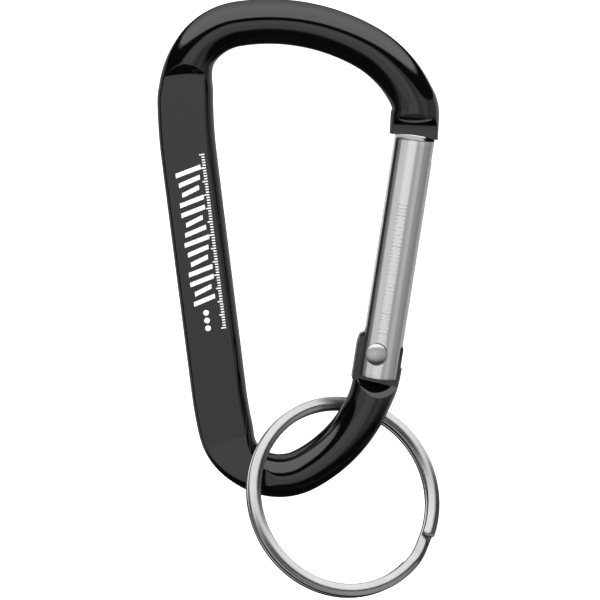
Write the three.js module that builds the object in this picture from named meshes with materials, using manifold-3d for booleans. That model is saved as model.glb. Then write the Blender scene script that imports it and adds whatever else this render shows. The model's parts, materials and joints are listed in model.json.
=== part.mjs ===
// A pear-shaped carabiner bent from round rod, with a sprung gate, and a split ring on its bottom bow.
//
// Millimetres. X runs across the clip from the spine to the gate and Z runs up. The clip is bent in
// the plane Y = 0, and its front faces -Y. The origin is where the clip hangs from a peg: the
// highest point on the inner side of the top bow.
import * as THREE from "three";
import { mergeVertices } from "three/addons/utils/BufferGeometryUtils.js";
import Module from "manifold-3d";

const wasm = await Module();
wasm.setup();

// ---- Driving dimensions ---------------------------------------------------------------------

const RUN = 0.25; // gap between pieces that turn or slide on each other

// The rod's centreline. A bend is { radius, turn } in mm and degrees, a straight is { length }.
const ROD_R = 3.5;
const CROWN = { radius: 30.8, toSpine: 9.1, toNose: 29.1 };
const SHOULDER_BEND = { radius: 9.6, turn: 79.4 };
const UPPER_SPINE_BEND = { radius: 81, turn: 8.2 };
const SPINE = { length: 37.7 };
const LOWER_SPINE_BEND = { radius: 67, turn: 6.6 };
const HEEL_BEND = { radius: 8.6, turn: 105 };
const BOTTOM_BEND = { radius: 22.8, turn: 47.6 };
const NOSE_SHOULDER_BEND = { radius: 17.8, turn: 36.7 };
const NOSE_BEND = { radius: 4.5, turn: 26.9 };
const NOSE = { length: 4.55 };

// Where the rod is pressed flat. Each is a half width in the clip's plane and a half thickness.
const PANEL = { halfWidth: 4.35, halfThickness: 2.2, topRamp: 2, bottomRamp: 10.5 };
const PANEL_ABOVE_BEND = 1.75; // the panel starts this far before the upper spine bend
const PANEL_LEAN = { slope: 0.25, reach: 7 }; // its top edge leans down towards the outer side
const PANEL_PAST_HEEL = 11; // and ends in a point this far round the heel
const PANEL_SWELL = { top: 8, from: 12.8, to: 3.2 }; // the runs over which the rod widens and narrows
const NOSE_FLAT = { halfWidth: 3.85, halfThickness: 1.5, length: 2.8, ramp: 1.6 };
const NOSE_SWELL = { from: 3.7, to: 7.7 };
const TONGUE = { halfWidth: 3.7, halfThickness: 1.45, ramp: 2, overlap: 2.5, swell: 4, offset: -0.25 };

// The gate, in its own frame: the rivet is the origin, w runs up the gate and u points outward.
const AXIS_U = 0.9; // the gate's centreline, outward of the rivet
const ROOT_DEPTH = 4.9; // from the rivet down to the rod's shoulder
const GATE = { radius: 3.4, bore: 2.35, slotHalf: 1.7, bottom: -3.9, top: 34.5 };
const HINGE_SLOT_TOP = 1.4;
const WEB = { bottom: 19.6, thickness: 1.2, bite: 0.2 }; // the bite is how far it runs into the wall
const LATCH = { from: 1.8, to: 3.2, halfThickness: 0.9, depth: 2.4, root: 3 }; // from the centreline
const LATCH_NOTCH = { from: 1.5, depth: 3.4 };
const END_CAP = 0.9; // the thickness of the gate's closed top
const ARCH = { side: 0.26, rise: 0.36 }; // over the gate: the gap at the sides, and the rise in the middle

// The rivet, and the end of the tongue that the plunger rides on.
const RIVET = { radius: 1, headRadius: 1.75, seat: 2.95, headHeight: 0.85, rim: 0.3, fit: 0.1 };
const CAM = { top: 2.9, lift: 0.7, outerRadius: 2.45, ledge: 1.1, turn: 33, shoulder: 1 };
const CAM_CORNER = { turn: 65, flatEnd: 0.5 }; // where the outer round ends and the flat begins

// The plunger and its spring.
const PLUNGER = { radius: 2.1, head: 1.2, stemRadius: 1.2, length: 6, chamfer: 0.4, gap: 0.1 };
const SPRING = { radius: 1.75, wire: 0.22, turns: 11, endGap: 0.1 };

// The split ring: two turns of flat wire, side by side, tilted so that the rod passes through it.
const RING = { outer: 16.3, inner: 14.2, wire: 1.05, gap: 0.1, chamfer: 0.25 };
const RING_RAMP = { from: -43, to: -25, endGap: 1.2 }; // degrees round the ring from +X
const RING_TILT = 29.9; // degrees, about the line from the rod through the ring's centre
const RING_LEAN = 12.2; // degrees, the lower side forward
const RING_DROP = 6.65; // from the rod's centre to the ring's centre
const RING_FORWARD = 1.2;
const RING_SEAT = 2.75; // along the bottom bend, from its lower end at the heel

// ---- Helpers ---------------------------------------------------------------------------------

const CLEAR = 1; // how far a cutter runs past what it cuts
const THROUGH = 5; // half the length of a cutter that passes right through the clip
const ROUND_SIDES = 32;
const ARC_STEPS = 16;
const MERGE = 1e-4;
const rad = THREE.MathUtils.degToRad;
const { lerp, smoothstep } = THREE.MathUtils;

// Walks a list of bends and straights and gives a function from distance to place and heading.
// Headings are degrees from +X towards +Z, and a positive turn goes left.
function makePath(x, z, heading, legs) {
  const parts = [];
  let length = 0;
  for (const leg of legs) {
    const run = leg.length ?? leg.radius * rad(Math.abs(leg.turn));
    parts.push({ leg, start: length, x, z, heading });
    const end = follow(leg, x, z, heading, run);
    length += run;
    ({ x, z, heading } = end);
  }
  const at = (s) => {
    const part = parts.findLast((p) => p.start <= Math.max(s, 0));
    return follow(part.leg, part.x, part.z, part.heading, s - part.start);
  };
  return { at, length, starts: parts.map((p) => p.start) };
}

function follow(leg, x, z, heading, s) {
  const h = rad(heading);
  if (leg.length !== undefined) {
    return { x: x + s * Math.cos(h), z: z + s * Math.sin(h), heading };
  }
  const side = Math.sign(leg.turn);
  const swing = (side * s) / leg.radius;
  const reach = side * leg.radius;
  return {
    x: x + reach * (Math.sin(h + swing) - Math.sin(h)),
    z: z - reach * (Math.cos(h + swing) - Math.cos(h)),
    heading: heading + THREE.MathUtils.radToDeg(swing),
  };
}

// Joins rings of points into one closed skin with a flat fan at each end.
function loft(rings) {
  const n = rings[0].length;
  const index = [];
  for (let i = 0; i + 1 < rings.length; i++) {
    for (let k = 0; k < n; k++) {
      const a = i * n + k;
      const b = i * n + ((k + 1) % n);
      index.push(a, b, b + n, a, b + n, a + n);
    }
  }
  const last = (rings.length - 1) * n;
  for (let k = 1; k + 1 < n; k++) {
    index.push(0, k + 1, k, last, last + k, last + k + 1);
  }
  const geometry = new THREE.BufferGeometry();
  geometry.setFromPoints(rings.flat());
  geometry.setIndex(index);
  return geometry;
}

function toSolid(geometry) {
  const bare = geometry.clone();
  bare.deleteAttribute("normal");
  bare.deleteAttribute("uv");
  const merged = mergeVertices(bare, MERGE);
  const vertProperties = new Float32Array(merged.attributes.position.array);
  const triVerts = new Uint32Array(merged.index.array);
  return new wasm.Manifold(new wasm.Mesh({ numProp: 3, vertProperties, triVerts }));
}

function fromSolid(solid) {
  const mesh = solid.getMesh();
  const geometry = new THREE.BufferGeometry();
  geometry.setAttribute("position", new THREE.BufferAttribute(mesh.vertProperties, 3));
  geometry.setIndex(new THREE.BufferAttribute(mesh.triVerts, 1));
  const facets = geometry.toNonIndexed();
  facets.computeVertexNormals();
  return facets;
}

// A plate cut to an outline drawn in (X, Z), centred on Y = 0.
function plate(shape, thickness) {
  const geometry = new THREE.ExtrudeGeometry(shape, {
    depth: thickness,
    bevelEnabled: false,
    curveSegments: ARC_STEPS,
  });
  return geometry.rotateX(Math.PI / 2).translate(0, thickness / 2, 0);
}

function block(fromCorner, toCorner) {
  const size = toCorner.map((v, i) => v - fromCorner[i]);
  const middle = toCorner.map((v, i) => (v + fromCorner[i]) / 2);
  return new THREE.BoxGeometry(...size).translate(...middle);
}

// A cylinder along Y from one Y to another.
function cylinderY(radius, from, to, x = 0, z = 0, sides = ROUND_SIDES) {
  const geometry = new THREE.CylinderGeometry(radius, radius, to - from, sides);
  return geometry.translate(x, (from + to) / 2, z);
}

// ---- The rod's line and the gate's frame -------------------------------------------------------

// The line runs from the nose, over the crown, down the spine and round to the hinge.
const toNose = makePath(0, ROD_R, 0, [
  { radius: CROWN.radius, turn: -CROWN.toNose },
  { radius: NOSE_SHOULDER_BEND.radius, turn: -NOSE_SHOULDER_BEND.turn },
  { radius: NOSE_BEND.radius, turn: -NOSE_BEND.turn },
  NOSE,
]);
const noseEnd = toNose.at(toNose.length);
const rodLegs = [
  NOSE,
  NOSE_BEND,
  NOSE_SHOULDER_BEND,
  { radius: CROWN.radius, turn: CROWN.toNose + CROWN.toSpine },
  SHOULDER_BEND,
  UPPER_SPINE_BEND,
  SPINE,
  LOWER_SPINE_BEND,
  HEEL_BEND,
  BOTTOM_BEND,
];
const rod = makePath(noseEnd.x, noseEnd.z, noseEnd.heading + 180, rodLegs);
const legStart = (leg) => rod.starts[rodLegs.indexOf(leg)];
const rodEnd = rod.at(rod.length);

// The gate's centreline joins the two ends of the rod.
const gateTilt = Math.atan2(noseEnd.x - rodEnd.x, noseEnd.z - rodEnd.z);
const gatePlace = new THREE.Matrix4().makeRotationY(gateTilt);
const rivetPoint = new THREE.Vector3(-AXIS_U, 0, ROOT_DEPTH).applyMatrix4(gatePlace);
rivetPoint.add(new THREE.Vector3(rodEnd.x, 0, rodEnd.z));
gatePlace.setPosition(rivetPoint);

// ---- Frame body --------------------------------------------------------------------------------

const QUARTER_STEPS = 5; // points from the edge of a section to the middle of its front
const WIDEST_EDGE = rad(72); // where a section that isn't pressed keeps its last side point
const BEND_STEP = 9; // degrees between sections in a bend
const RUN_STEP = 6; // millimetres between sections elsewhere
const SHORTEST_RUN = 0.05; // two sections closer than this are one

const panelTop = legStart(UPPER_SPINE_BEND) - PANEL_ABOVE_BEND;
const panelTip = legStart(HEEL_BEND) + PANEL_PAST_HEEL;

// Half width in the clip's plane, and half thickness, at a distance along the rod.
function rodSize(s) {
  const left = rod.length - s;
  const pressedSpine =
    smoothstep(s, panelTop - PANEL_SWELL.top / 2, panelTop + PANEL_SWELL.top / 2) *
    (1 - smoothstep(s, panelTip - PANEL_SWELL.from, panelTip - PANEL_SWELL.to));
  const pressedNose = 1 - smoothstep(s, NOSE_SWELL.from, NOSE_SWELL.to);
  const pressedTongue = 1 - smoothstep(left, 0, TONGUE.swell);
  let halfWidth = lerp(ROD_R, PANEL.halfWidth, pressedSpine);
  halfWidth = lerp(halfWidth, NOSE_FLAT.halfWidth, pressedNose);
  halfWidth = lerp(halfWidth, TONGUE.halfWidth, pressedTongue);
  const ramp = (distance, flat) => {
    const rise = Math.max(distance, 0) / flat.ramp;
    return flat.halfThickness + rise * (ROD_R - flat.halfThickness);
  };
  const panelDepth = ROD_R - PANEL.halfThickness;
  const above = Math.max(panelTop - s, 0) / PANEL.topRamp;
  const below = Math.max(s - (panelTip - PANEL.bottomRamp), 0) / PANEL.bottomRamp;
  const halfThickness = Math.min(
    ROD_R,
    ramp(s - NOSE_FLAT.length, NOSE_FLAT),
    ramp(left, TONGUE),
    PANEL.halfThickness + panelDepth * (above + below),
  );
  return { halfWidth, halfThickness };
}

// A rod section: an ellipse with its front and back pressed flat.
function rodSection(s) {
  const { halfWidth, halfThickness } = rodSize(s);
  const lean = PANEL_LEAN.slope * Math.max(1 - Math.abs(s - panelTop) / PANEL_LEAN.reach, 0);
  const steps = QUARTER_STEPS;
  const edge = Math.min(Math.asin(Math.min(halfThickness / ROD_R, 1)), WIDEST_EDGE);
  const points = [];
  for (let k = 0; k < 4 * steps; k++) {
    const quarter = Math.floor(k / steps);
    const step = quarter % 2 ? steps - (k % steps) : k % steps;
    const angle = step === steps ? Math.PI / 2 : (edge * step) / (steps - 1);
    const across = halfWidth * Math.cos(angle) * (quarter === 0 || quarter === 3 ? 1 : -1);
    const deep = Math.min(ROD_R * Math.sin(angle), halfThickness) * (quarter < 2 ? 1 : -1);
    const place = rod.at(s + lean * across);
    const out = new THREE.Vector3(Math.sin(rad(place.heading)), 0, -Math.cos(rad(place.heading)));
    points.push(new THREE.Vector3(place.x, deep, place.z).addScaledVector(out, across));
  }
  return points;
}

function rodStations() {
  const marks = [
    ...rod.starts,
    rod.length,
    NOSE_FLAT.length,
    NOSE_FLAT.length + NOSE_FLAT.ramp,
    panelTop,
    panelTop - PANEL.topRamp,
    panelTip - PANEL.bottomRamp,
    panelTip,
    rod.length - TONGUE.ramp,
    rod.length + TONGUE.overlap,
  ].sort((a, b) => a - b);
  const stations = [marks[0]];
  for (const mark of marks.slice(1)) {
    const from = stations.at(-1);
    if (mark - from < SHORTEST_RUN) continue;
    const bend = Math.abs(rod.at(mark).heading - rod.at(from).heading);
    const count = Math.ceil(Math.max(bend / BEND_STEP, (mark - from) / RUN_STEP));
    for (let i = 1; i <= count; i++) stations.push(lerp(from, mark, i / count));
  }
  return stations;
}

// The nose ends in a shallow arch, which leaves the gate's tip room to swing.
function archShape() {
  const span = NOSE_FLAT.halfWidth;
  const radius = (span ** 2 + ARCH.rise ** 2) / (2 * ARCH.rise);
  const centre = GATE.top + ARCH.side + ARCH.rise - radius;
  const reach = span + CLEAR;
  const spread = Math.asin(reach / radius);
  const shape = new THREE.Shape();
  shape.moveTo(AXIS_U - reach, GATE.top - 2 * CLEAR);
  shape.lineTo(AXIS_U + reach, GATE.top - 2 * CLEAR);
  shape.absarc(AXIS_U, centre, radius, Math.PI / 2 - spread, Math.PI / 2 + spread, false);
  shape.closePath();
  return shape;
}

// The tongue's end: a ledge that stops the gate, a flat under the plunger, and on the inner side
// the curve that the rim of the plunger follows as the gate opens and the plunger is pushed up.
const CAM_STEPS = 7;

function tongueShape() {
  const inner = AXIS_U + TONGUE.offset - TONGUE.halfWidth;
  const outer = AXIS_U + TONGUE.offset + TONGUE.halfWidth;
  const rim = AXIS_U - PLUNGER.radius;
  const shape = new THREE.Shape();
  shape.moveTo(inner, -ROOT_DEPTH);
  shape.lineTo(outer, -ROOT_DEPTH);
  shape.lineTo(outer, CAM.ledge);
  const ledgeAngle = Math.asin(CAM.ledge / CAM.outerRadius);
  shape.absarc(0, 0, CAM.outerRadius, ledgeAngle, rad(CAM_CORNER.turn), false);
  shape.lineTo(CAM_CORNER.flatEnd, CAM.top);
  for (let i = 0; i <= CAM_STEPS; i++) {
    const swing = rad((CAM.turn * i) / CAM_STEPS);
    const height = CAM.top + CAM.lift * swing;
    const u = rim * Math.cos(swing) - height * Math.sin(swing);
    const w = rim * Math.sin(swing) + height * Math.cos(swing);
    shape.lineTo(u, w);
  }
  shape.lineTo(inner, CAM.shoulder);
  shape.closePath();
  return shape;
}

function makeFrameBody() {
  const bent = toSolid(loft(rodStations().map(rodSection)));
  const inGateFrame = (geometry) => toSolid(geometry.applyMatrix4(gatePlace));
  const tongue = inGateFrame(plate(tongueShape(), 2 * TONGUE.halfThickness));
  const latch = inGateFrame(
    block(
      [AXIS_U + LATCH.from, -LATCH.halfThickness, GATE.top - LATCH.depth],
      [AXIS_U + LATCH.to, LATCH.halfThickness, GATE.top + LATCH.root],
    ),
  );
  const pivotHole = inGateFrame(cylinderY(RIVET.radius + RUN, -THROUGH, THROUGH));
  const arch = inGateFrame(plate(archShape(), 2 * THROUGH));
  return fromSolid(bent.subtract(arch).add(latch).add(tongue).subtract(pivotHole));
}

// ---- Gate ----------------------------------------------------------------------------------------

const TUBE_SIDES = 36;

// A tube with a slot down its inner side, a closed top, and a web that the spring pushes against.
function makeGateChannel() {
  const lip = Math.asin(GATE.slotHalf / GATE.radius);
  const mouth = Math.asin(GATE.slotHalf / GATE.bore);
  const shape = new THREE.Shape();
  shape.absarc(AXIS_U, 0, GATE.radius, Math.PI + lip, Math.PI - lip + 2 * Math.PI, false);
  shape.absarc(AXIS_U, 0, GATE.bore, Math.PI - mouth, Math.PI + mouth, true);
  shape.closePath();
  const length = GATE.top - GATE.bottom;
  const tube = new THREE.ExtrudeGeometry(shape, {
    depth: length,
    bevelEnabled: false,
    curveSegments: TUBE_SIDES,
  });
  tube.translate(0, 0, GATE.bottom);
  const reach = GATE.bore + WEB.bite;
  const disc = (bottom, thickness) => {
    const geometry = new THREE.CylinderGeometry(reach, reach, thickness, ROUND_SIDES);
    return geometry.rotateX(Math.PI / 2).translate(AXIS_U, 0, bottom + thickness / 2);
  };
  const web = disc(WEB.bottom, WEB.thickness);
  const cap = disc(GATE.top - END_CAP, END_CAP);
  const outside = AXIS_U + GATE.radius + CLEAR;
  const notch = LATCH.halfThickness + RUN;
  const slot = GATE.slotHalf;
  const cuts = [
    block([AXIS_U, -slot, GATE.bottom - CLEAR], [outside, slot, HINGE_SLOT_TOP]),
    block(
      [AXIS_U + LATCH_NOTCH.from, -notch, GATE.top - LATCH_NOTCH.depth],
      [outside, notch, GATE.top + CLEAR],
    ),
    cylinderY(RIVET.radius + RIVET.fit, -THROUGH, THROUGH),
    cylinderY(RIVET.headRadius + RIVET.fit, -THROUGH, -RIVET.seat),
    cylinderY(RIVET.headRadius + RIVET.fit, RIVET.seat, THROUGH),
  ];
  let channel = toSolid(tube).add(toSolid(web)).add(toSolid(cap));
  for (const cut of cuts) channel = channel.subtract(toSolid(cut));
  return fromSolid(channel);
}

const DOME_STEPS = 6;

// A rivet with a low dome at each end, turned about Y.
function makeHingeRivet() {
  const under = RIVET.seat + RIVET.fit / 2;
  const dome = [];
  for (let i = 0; i <= DOME_STEPS; i++) {
    const angle = (Math.PI / 2) * (i / DOME_STEPS);
    const height = under + RIVET.headHeight * lerp(RIVET.rim, 1, Math.sin(angle));
    dome.push(new THREE.Vector2(RIVET.headRadius * Math.cos(angle), height));
  }
  dome[DOME_STEPS].x = 0;
  const half = [
    new THREE.Vector2(RIVET.radius, under),
    new THREE.Vector2(RIVET.headRadius, under),
    ...dome,
  ];
  const mirrored = half.map((p) => new THREE.Vector2(p.x, -p.y)).reverse();
  return new THREE.LatheGeometry([...mirrored, ...half], ROUND_SIDES);
}

const plungerFace = CAM.top + PLUNGER.gap;

function makeSpringPlunger() {
  const top = plungerFace + PLUNGER.length;
  const shoulder = plungerFace + PLUNGER.head;
  const profile = [
    new THREE.Vector2(0, plungerFace),
    new THREE.Vector2(PLUNGER.radius, plungerFace),
    new THREE.Vector2(PLUNGER.radius, shoulder),
    new THREE.Vector2(PLUNGER.stemRadius, shoulder),
    new THREE.Vector2(PLUNGER.stemRadius, top - PLUNGER.chamfer),
    new THREE.Vector2(PLUNGER.stemRadius - PLUNGER.chamfer, top),
    new THREE.Vector2(0, top),
  ];
  const turned = new THREE.LatheGeometry(profile, ROUND_SIDES);
  return turned.rotateX(Math.PI / 2).translate(AXIS_U, 0, 0);
}

class Helix extends THREE.Curve {
  constructor(radius, bottom, top, turns) {
    super();
    Object.assign(this, { radius, bottom, top, turns });
  }

  getPoint(t, target = new THREE.Vector3()) {
    const angle = 2 * Math.PI * this.turns * t;
    const height = lerp(this.bottom, this.top, t);
    return target.set(this.radius * Math.cos(angle), this.radius * Math.sin(angle), height);
  }
}

const SPRING_STEPS = 14; // round each turn

function makeGateSpring() {
  const clear = SPRING.wire + SPRING.endGap;
  const bottom = plungerFace + PLUNGER.head + clear;
  const path = new Helix(SPRING.radius, bottom, WEB.bottom - clear, SPRING.turns);
  const section = new THREE.Shape().absarc(0, 0, SPRING.wire, 0, 2 * Math.PI, false);
  const geometry = new THREE.ExtrudeGeometry(section, {
    steps: SPRING_STEPS * SPRING.turns,
    curveSegments: 3,
    bevelEnabled: false,
    extrudePath: path,
  });
  return geometry.translate(AXIS_U, 0, 0);
}

// ---- Split ring -----------------------------------------------------------------------------------

const RING_STEP = 6; // degrees

// In the ring's own frame it lies in XY, its front is +Z, and the wire runs anticlockwise: one turn
// in front, a ramp, and one turn behind.
function makeSplitRing() {
  const layer = (RING.wire + RING.gap) / 2;
  const { from, to, endGap } = RING_RAMP;
  const start = to + endGap;
  const end = from + 720 - endGap;
  const rampStart = from + 360;
  const rampEnd = to + 360;
  const angles = [start];
  for (const [until, step] of [[rampStart, RING_STEP], [rampEnd, RING_STEP / 2], [end, RING_STEP]]) {
    const begin = angles.at(-1);
    const count = Math.ceil((until - begin) / step);
    for (let i = 1; i <= count; i++) angles.push(lerp(begin, until, i / count));
  }
  const c = RING.chamfer;
  const half = RING.wire / 2;
  const outline = [
    [RING.inner, c - half],
    [RING.inner, half - c],
    [RING.inner + c, half],
    [RING.outer - c, half],
    [RING.outer, half - c],
    [RING.outer, c - half],
    [RING.outer - c, -half],
    [RING.inner + c, -half],
  ];
  const rings = angles.map((angle) => {
    const sunk = smoothstep(angle, rampStart, rampEnd);
    const height = lerp(layer, -layer, sunk);
    return outline.map(([r, z]) => {
      return new THREE.Vector3(r * Math.cos(rad(angle)), r * Math.sin(rad(angle)), height + z);
    });
  });
  return loft(rings);
}

// The ring hangs across the bottom bend with its wire in front of the rod at the heel and behind it
// on the gate's side. Its frame starts along the rod, upright and facing forward, then leans and tilts.
const seat = rod.at(legStart(BOTTOM_BEND) + RING_SEAT);
const slope = rad(seat.heading);
const ringPlace = new THREE.Matrix4()
  .makeBasis(
    new THREE.Vector3(Math.cos(slope), 0, Math.sin(slope)),
    new THREE.Vector3(-Math.sin(slope), 0, Math.cos(slope)),
    new THREE.Vector3(0, -1, 0),
  )
  .setPosition(seat.x, -RING_FORWARD, seat.z)
  .multiply(new THREE.Matrix4().makeRotationX(rad(-RING_LEAN)))
  .multiply(new THREE.Matrix4().makeTranslation(0, -RING_DROP, 0))
  .multiply(new THREE.Matrix4().makeRotationY(rad(RING_TILT)))
  .multiply(new THREE.Matrix4().makeRotationZ(-slope));

// ---- Scene graph ----------------------------------------------------------------------------------

const blackAnodise = { color: 0x0b0b0c, roughness: 0.16, metalness: 0.6 };
const aluminium = { color: 0xc4c6c8, roughness: 0.3, metalness: 1 };
const rivetSteel = { color: 0xb4b6b8, roughness: 0.25, metalness: 1 };
const springSteel = { color: 0x8c8f92, roughness: 0.35, metalness: 1 };
const plungerBrass = { color: 0xb59a55, roughness: 0.35, metalness: 1 };
const nickelPlate = { color: 0xc0c1c2, roughness: 0.18, metalness: 1 };

function named(name, geometry, finish) {
  const mesh = new THREE.Mesh(geometry, new THREE.MeshStandardMaterial(finish));
  mesh.name = name;
  return mesh;
}

const keyring = new THREE.Group();
keyring.add(named("frame_body", makeFrameBody(), blackAnodise));

const gate = new THREE.Group();
gate.applyMatrix4(gatePlace);
gate.add(named("gate_channel", makeGateChannel(), aluminium));
gate.add(named("hinge_rivet", makeHingeRivet(), rivetSteel));
gate.add(named("gate_spring", makeGateSpring(), springSteel));
gate.add(named("spring_plunger", makeSpringPlunger(), plungerBrass));
keyring.add(gate);

const splitRing = named("split_ring", makeSplitRing(), nickelPlate);
splitRing.applyMatrix4(ringPlace);
keyring.add(splitRing);

export default keyring;
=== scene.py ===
import json
import math
import random

import bmesh
import bpy
from mathutils import Matrix, Vector


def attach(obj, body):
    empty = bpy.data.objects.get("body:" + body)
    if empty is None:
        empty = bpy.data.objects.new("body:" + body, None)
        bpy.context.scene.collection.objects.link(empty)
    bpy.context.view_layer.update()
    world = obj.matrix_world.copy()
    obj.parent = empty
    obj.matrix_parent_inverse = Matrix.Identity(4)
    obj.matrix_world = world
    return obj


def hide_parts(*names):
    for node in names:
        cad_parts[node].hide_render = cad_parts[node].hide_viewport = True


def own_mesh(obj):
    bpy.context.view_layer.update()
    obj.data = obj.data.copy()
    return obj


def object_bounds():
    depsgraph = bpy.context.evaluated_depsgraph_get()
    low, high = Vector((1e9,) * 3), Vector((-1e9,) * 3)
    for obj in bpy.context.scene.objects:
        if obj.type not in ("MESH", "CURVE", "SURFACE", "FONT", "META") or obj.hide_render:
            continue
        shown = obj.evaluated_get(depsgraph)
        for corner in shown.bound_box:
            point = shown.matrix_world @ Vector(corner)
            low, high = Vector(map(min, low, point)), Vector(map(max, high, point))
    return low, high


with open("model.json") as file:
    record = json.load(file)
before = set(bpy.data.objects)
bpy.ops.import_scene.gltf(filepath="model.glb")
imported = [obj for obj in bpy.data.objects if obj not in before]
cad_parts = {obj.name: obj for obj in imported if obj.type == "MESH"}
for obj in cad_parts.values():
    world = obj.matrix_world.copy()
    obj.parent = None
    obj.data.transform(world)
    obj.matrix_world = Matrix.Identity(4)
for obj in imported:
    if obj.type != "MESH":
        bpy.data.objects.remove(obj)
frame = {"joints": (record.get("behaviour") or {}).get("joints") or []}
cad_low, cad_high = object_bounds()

# A carabiner keyring: a bent rod with its pressed flats, a sprung gate on a rivet, and a split ring.
# Lengths are millimetres until a mesh is made. X runs from the spine to the gate, the front faces
# -Y, Z runs up, and the origin is the top bow's inner side.
MM = 0.001
RUN = 0.25  # the running gap between two moving pieces
FIT = 0.1  # the gap round a fixed piece
CLEAR = 1  # how far a cutter reaches past what it cuts
THROUGH = 5  # from the clip's plane to well outside every piece
PIVOT_REACH = 4  # from the clip's plane to outside the tongue
rad = math.radians


# ---- Camera ---------------------------------------------------------------------------------------

VIEW = {"azimuth": -2, "elevation": 11, "distance": 400, "lens": 151.2}
AIM = (4.9, 0, -40.6)


def make_camera():
    data = bpy.data.cameras.new("camera")
    data.lens = VIEW["lens"]
    data.clip_start = 0.01
    camera = bpy.data.objects.new("camera", data)
    bpy.context.scene.collection.objects.link(camera)
    a, e = rad(VIEW["azimuth"]), rad(VIEW["elevation"])
    back = Vector((math.sin(a) * math.cos(e), -math.cos(a) * math.cos(e), math.sin(e)))
    camera.location = (Vector(AIM) + back * VIEW["distance"]) * MM
    camera.rotation_euler = back.to_track_quat("Z", "Y").to_euler()
    bpy.context.scene.camera = camera


make_camera()


# ---- Driving dimensions, as in the solid model ----------------------------------------------------

ROD_R = 3.5
CROWN = {"radius": 30.8, "to_spine": 9.1, "to_nose": 29.1}
NOSE = ("straight", 4.55)
NOSE_BEND = ("bend", 4.5, 26.9)
NOSE_SHOULDER = ("bend", 17.8, 36.7)
SHOULDER = ("bend", 9.6, 79.4)
UPPER_SPINE = ("bend", 81, 8.2)
SPINE = ("straight", 37.7)
LOWER_SPINE = ("bend", 67, 6.6)
HEEL = ("bend", 8.6, 105)
BOTTOM = ("bend", 22.8, 47.6)

PANEL = {"half_width": 4.35, "half_thickness": 2.2, "top_ramp": 1.6, "bottom_ramp": 10.5}
PANEL_ABOVE_BEND = 1.75
PANEL_LEAN = {"slope": 0.25, "reach": 7}
PANEL_PAST_HEEL = 11
PANEL_SWELL = {"top": 8, "from": 12.8, "to": 3.2}
PANEL_SHIFT = 0.45  # the flat sits a little towards the outside of the bend
NOSE_FLAT = {"half_width": 3.85, "half_thickness": 1.5}
NOSE_SWELL = {"from": 3.7, "to": 7.7}
NOSE_HOLLOW = {"from": 1.6, "run": 3, "power": 3}  # the flat curves up into the rod
TONGUE = {
    "half_width": 3.7, "half_thickness": 1.45, "ramp": 2, "overlap": 2.5, "swell": 4, "offset": -0.25,
}

AXIS_U = 0.9
ROOT_DEPTH = 4.9
GATE = {"radius": 3.4, "bore": 2.35, "slot": 1.7, "bottom": -3.9, "top": 34.5}
HINGE_SLOT_TOP = 1.4
WEB = {"bottom": 19.6, "thickness": 1.2, "bite": 0.2}  # the bite is how far it runs into the wall
LATCH = {"from": 1.8, "to": 3.2, "half_thickness": 0.9, "depth": 2.4, "root": 3}
LATCH_NOTCH = {"from": 1.5, "depth": 3.4}
END_CAP = 0.9
ARCH = {"side": 0.26, "rise": 0.36}
RIVET = {"radius": 1, "head": 1.75, "seat": 3, "height": 0.85, "rim": 0.2, "edge": (0.08, 0.07)}
CAM = {"top": 2.9, "lift": 0.7, "outer": 2.45, "ledge": 1.1, "turn": 33, "shoulder": 1}
CAM_CORNER = {"turn": 65, "flat_end": 0.5}
PLUNGER = {"radius": 2.1, "head": 1.2, "stem": 1.2, "length": 6, "gap": 0.1, "ease": 0.15}
PLUNGER_TIP = {"height": 0.45, "inset": 0.4, "steps": 6}
SPRING = {"radius": 1.75, "wire": 0.22, "turns": 11, "gap": 0.1}
RING = {"outer": 16.3, "inner": 14.2, "wire": 1.05, "gap": 0.1, "corner": 0.3, "crown": 0.18}
RING_RAMP = {"from": -43, "to": -25, "gap": 1.2}
RING_PLACE = {"tilt": 29.9, "lean": 12.2, "drop": 6.65, "forward": 1.2, "seat": 2.75}


def lerp(a, b, t):
    return a + (b - a) * t


def smooth(value, low, high):
    t = min(max((value - low) / (high - low), 0), 1)
    return t * t * (3 - 2 * t)


# ---- The rod's line -------------------------------------------------------------------------------


class Line:
    """A line in the clip's plane made of straights and left-hand bends, walked by distance."""

    def __init__(self, x, z, heading, legs):
        self.parts = []
        self.length = 0
        for leg in legs:
            self.parts.append((leg, self.length, x, z, heading))
            run = leg[1] if leg[0] == "straight" else abs(leg[1] * rad(leg[2]))
            x, z, heading = self.follow(leg, x, z, heading, run)
            self.length += run

    @staticmethod
    def follow(leg, x, z, heading, run):
        h = rad(heading)
        if leg[0] == "straight":
            return x + run * math.cos(h), z + run * math.sin(h), heading
        side = math.copysign(1, leg[2])
        swing = side * run / leg[1]
        reach = side * leg[1]
        x += reach * (math.sin(h + swing) - math.sin(h))
        z -= reach * (math.cos(h + swing) - math.cos(h))
        return x, z, heading + math.degrees(swing)

    def start(self, leg):
        return next(part[1] for part in self.parts if part[0] is leg)

    def at(self, s):
        part = next(p for p in reversed(self.parts) if p[1] <= max(s, 0))
        return self.follow(part[0], part[2], part[3], part[4], s - part[1])


def turned(leg, turn):
    return (leg[0], leg[1], turn)


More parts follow.
